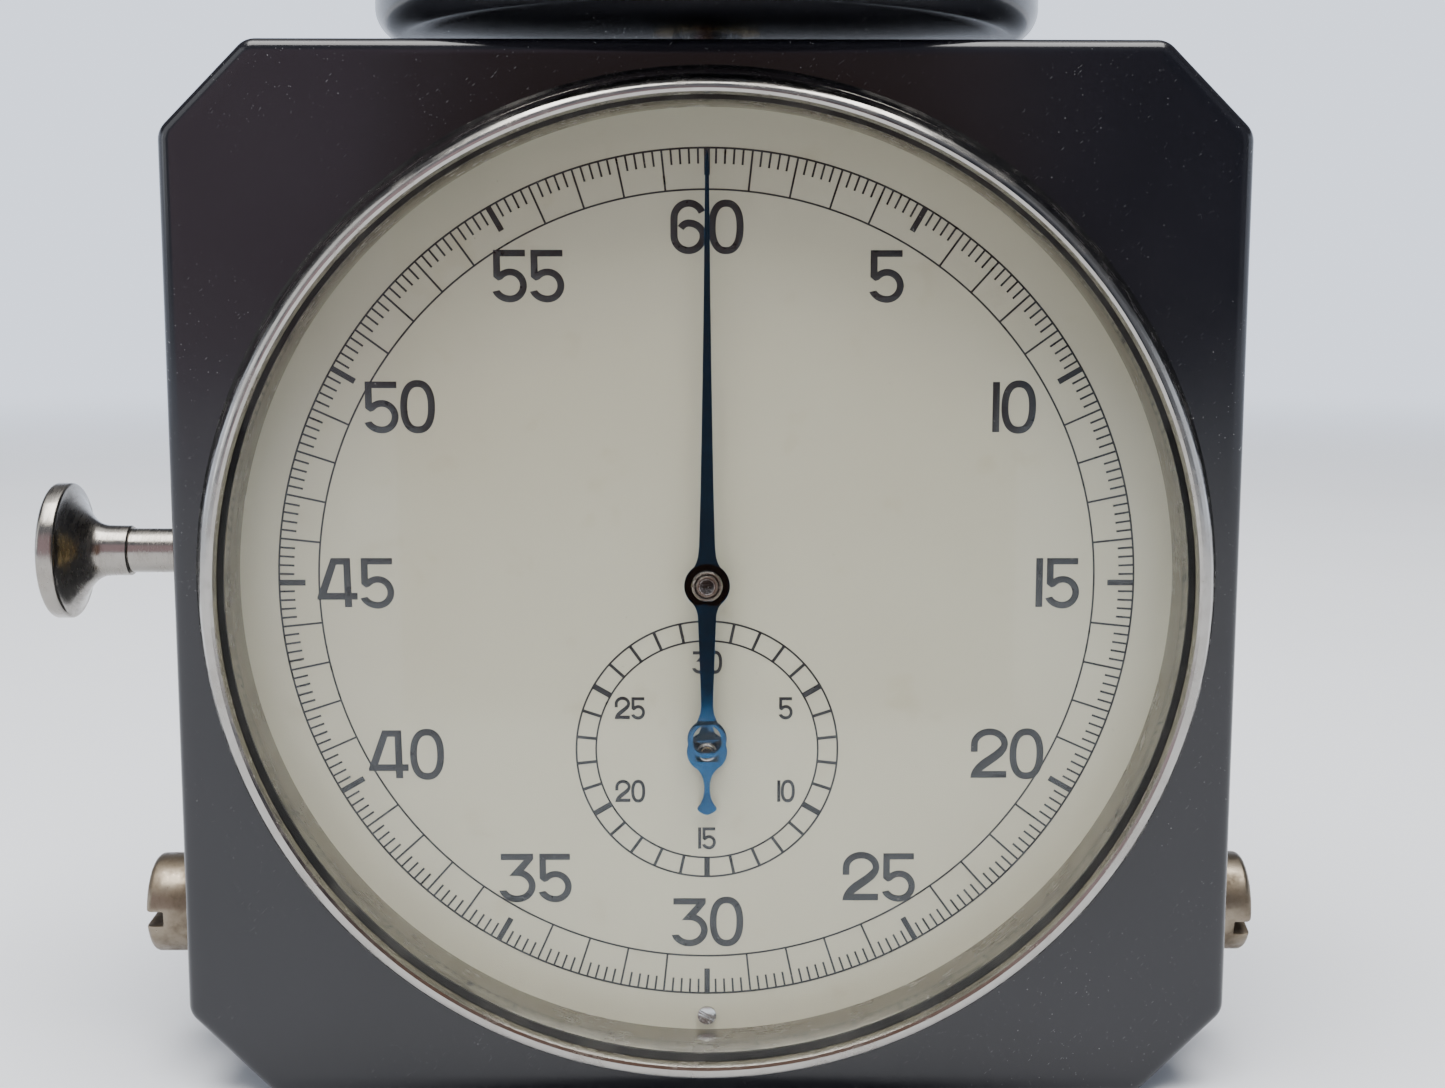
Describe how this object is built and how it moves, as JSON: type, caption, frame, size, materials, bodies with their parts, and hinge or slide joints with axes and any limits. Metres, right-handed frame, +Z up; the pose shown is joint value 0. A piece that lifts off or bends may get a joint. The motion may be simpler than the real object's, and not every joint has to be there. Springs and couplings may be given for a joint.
{
  "type": "mechanical stopwatch",
  "caption": "Square black table stopwatch with a proud round bezel, palm start knob on top, side reset push button, central seconds hand and minute sub-dial.",
  "frame": {"origin": "centre of the case's flat bottom face", "axes": "+Z up towards the palm knob, -Y out of the dial towards the reader, +X to the reader's right"},
  "size_m": [0.1349, 0.073, 0.1274],
  "materials": {
    "black_enamel": "high gloss, fine scratches",
    "black_knob": "polished, hazed by hands",
    "nickel": "polished nickel plate",
    "worn_nickel": "nickel worn to brass",
    "crystal": "flat mineral glass",
    "rubber": "matt",
    "dial_enamel": "cream, aged",
    "blued_steel": "heat-blued, polished",
    "steel": "ground",
    "spring_steel": "tempered",
    "gilt_brass": "gilt, grained",
    "ruby": "polished"
  },
  "bodies": {
    "case": {"case_body": "black_enamel", "back_cover": "black_enamel", "cover_screws": "worn_nickel", "bezel_ring": "nickel", "crystal": "crystal", "crystal_gasket": "rubber", "rehaut_ring": "nickel", "dial": "dial_enamel", "dial_screw": "steel", "case_clamps": "gilt_brass", "movement_screws": "blued_steel", "side_screw_left": "worn_nickel", "side_screw_right": "worn_nickel", "side_washers": "rubber", "stem_bushing": "gilt_brass", "start_spring": "spring_steel", "fixed_studs": "steel", "click": "steel", "click_spring": "spring_steel", "reset_bushing": "gilt_brass", "reset_spring": "spring_steel", "stem_guides": "gilt_brass", "main_plate": "gilt_brass", "pillars": "gilt_brass", "train_bridge": "gilt_brass", "barrel_bridge": "gilt_brass", "balance_cock": "gilt_brass", "jewels": "ruby", "hairspring": "blued_steel"},
    "start_slide": {"stem_sleeve": "steel"},
    "knob": {"start_knob": "black_knob", "knob_stem": "steel"},
    "winding_pinion": {"winding_pinion": "steel"},
    "crown_wheel": {"crown_wheel": "steel"},
    "ratchet": {"ratchet_wheel": "steel", "barrel_arbor": "steel"},
    "reset_slide": {"reset_button": "nickel", "reset_stem": "nickel", "reset_collar": "steel"},
    "hammer": {"reset_hammer": "steel"},
    "barrel": {"barrel_drum": "gilt_brass", "barrel_cover": "gilt_brass", "mainspring": "spring_steel"},
    "centre": {"centre_wheel": "gilt_brass"},
    "third": {"third_wheel": "gilt_brass"},
    "seconds": {"seconds_arbor": "steel", "seconds_wheel": "gilt_brass", "seconds_heart": "steel", "second_hand": "blued_steel", "second_pipe": "nickel"},
    "intermediate": {"intermediate_wheel": "gilt_brass"},
    "minute": {"minute_wheel": "gilt_brass", "minute_heart": "steel", "minute_hand": "blued_steel", "minute_pipe": "nickel"},
    "escape": {"escape_wheel": "gilt_brass"},
    "pallets": {"pallet_fork": "steel"},
    "balance": {"balance_wheel": "gilt_brass", "balance_staff": "steel"}
  },
  "joints": [
    {"name": "knob_press", "type": "slide", "parent": "case", "child": "start_slide", "axis": [0, 0, -1], "range_m": [0, 0.0016], "stiffness_N_per_m": 600, "springref_m": -0.001, "deforming": ["start_spring"]},
    {"name": "knob_turn", "type": "hinge", "parent": "start_slide", "child": "knob", "pos_m": [0, 0, 0.1124], "axis": [0, 0, 1], "continuous": true},
    {"name": "winding_pinion_turn", "type": "hinge", "parent": "case", "child": "winding_pinion", "pos_m": [0, 0, 0.08939], "axis": [0, 0, 1], "continuous": true},
    {"name": "crown_wheel_turn", "type": "hinge", "parent": "case", "child": "crown_wheel", "pos_m": [0, 0, 0.08399], "axis": [0, 1, 0], "continuous": true},
    {"name": "ratchet_turn", "type": "hinge", "parent": "case", "child": "ratchet", "pos_m": [0.0165, 0, 0.0768], "axis": [0, 1, 0], "continuous": true},
    {"name": "reset_press", "type": "slide", "parent": "case", "child": "reset_slide", "axis": [1, 0, 0], "range_m": [0, 0.002], "stiffness_N_per_m": 400, "springref_m": -0.001, "deforming": ["reset_spring"]},
    {"name": "hammer_swing", "type": "hinge", "parent": "case", "child": "hammer", "pos_m": [-0.022, 0, 0.042], "axis": [0, 1, 0], "range_deg": [0, 8.5]},
    {"name": "seconds_turn", "type": "hinge", "parent": "case", "child": "seconds", "pos_m": [0, 0, 0.055], "axis": [0, 1, 0], "continuous": true},
    {"name": "third_turn", "type": "hinge", "parent": "case", "child": "third", "pos_m": [0.01444, 0, 0.05141], "axis": [0, 1, 0], "continuous": true},
    {"name": "centre_turn", "type": "hinge", "parent": "case", "child": "centre", "pos_m": [0.02936, 0, 0.06148], "axis": [0, 1, 0], "continuous": true},
    {"name": "barrel_turn", "type": "hinge", "parent": "case", "child": "barrel", "pos_m": [0.0165, 0, 0.0768], "axis": [0, 1, 0], "continuous": true},
    {"name": "escape_turn", "type": "hinge", "parent": "case", "child": "escape", "pos_m": [-0.01117, 0, 0.06021], "axis": [0, 1, 0], "continuous": true},
    {"name": "intermediate_turn", "type": "hinge", "parent": "case", "child": "intermediate", "pos_m": [-0.00927, 0, 0.04699], "axis": [0, 1, 0], "continuous": true},
    {"name": "minute_turn", "type": "hinge", "parent": "case", "child": "minute", "pos_m": [0, 0, 0.03717], "axis": [0, 1, 0], "continuous": true},
    {"name": "balance_swing", "type": "hinge", "parent": "case", "child": "balance", "pos_m": [-0.0228, 0, 0.06835], "axis": [0, 1, 0], "range_deg": [-150, 150], "stiffness_Nm_per_rad": 0.00002},
    {"name": "pallet_rock", "type": "hinge", "parent": "case", "child": "pallets", "pos_m": [-0.01657, 0, 0.06399], "axis": [0, 1, 0], "range_deg": [-4, 4]}
  ],
  "couplings": [
    {"joint": "winding_pinion_turn", "follows": "knob_turn", "ratio": 1},
    {"joint": "crown_wheel_turn", "follows": "knob_turn", "ratio": 0.5},
    {"joint": "ratchet_turn", "follows": "knob_turn", "ratio": -0.33333},
    {"joint": "hammer_swing", "follows": "reset_press", "rad_per_m": 74.176},
    {"joint": "third_turn", "follows": "seconds_turn", "ratio": -0.13333},
    {"joint": "centre_turn", "follows": "seconds_turn", "ratio": 0.016667},
    {"joint": "barrel_turn", "follows": "seconds_turn", "ratio": -0.0018519},
    {"joint": "escape_turn", "follows": "seconds_turn", "ratio": -10},
    {"joint": "intermediate_turn", "follows": "seconds_turn", "ratio": -0.16667},
    {"joint": "minute_turn", "follows": "seconds_turn", "ratio": 0.033333}
  ]
}
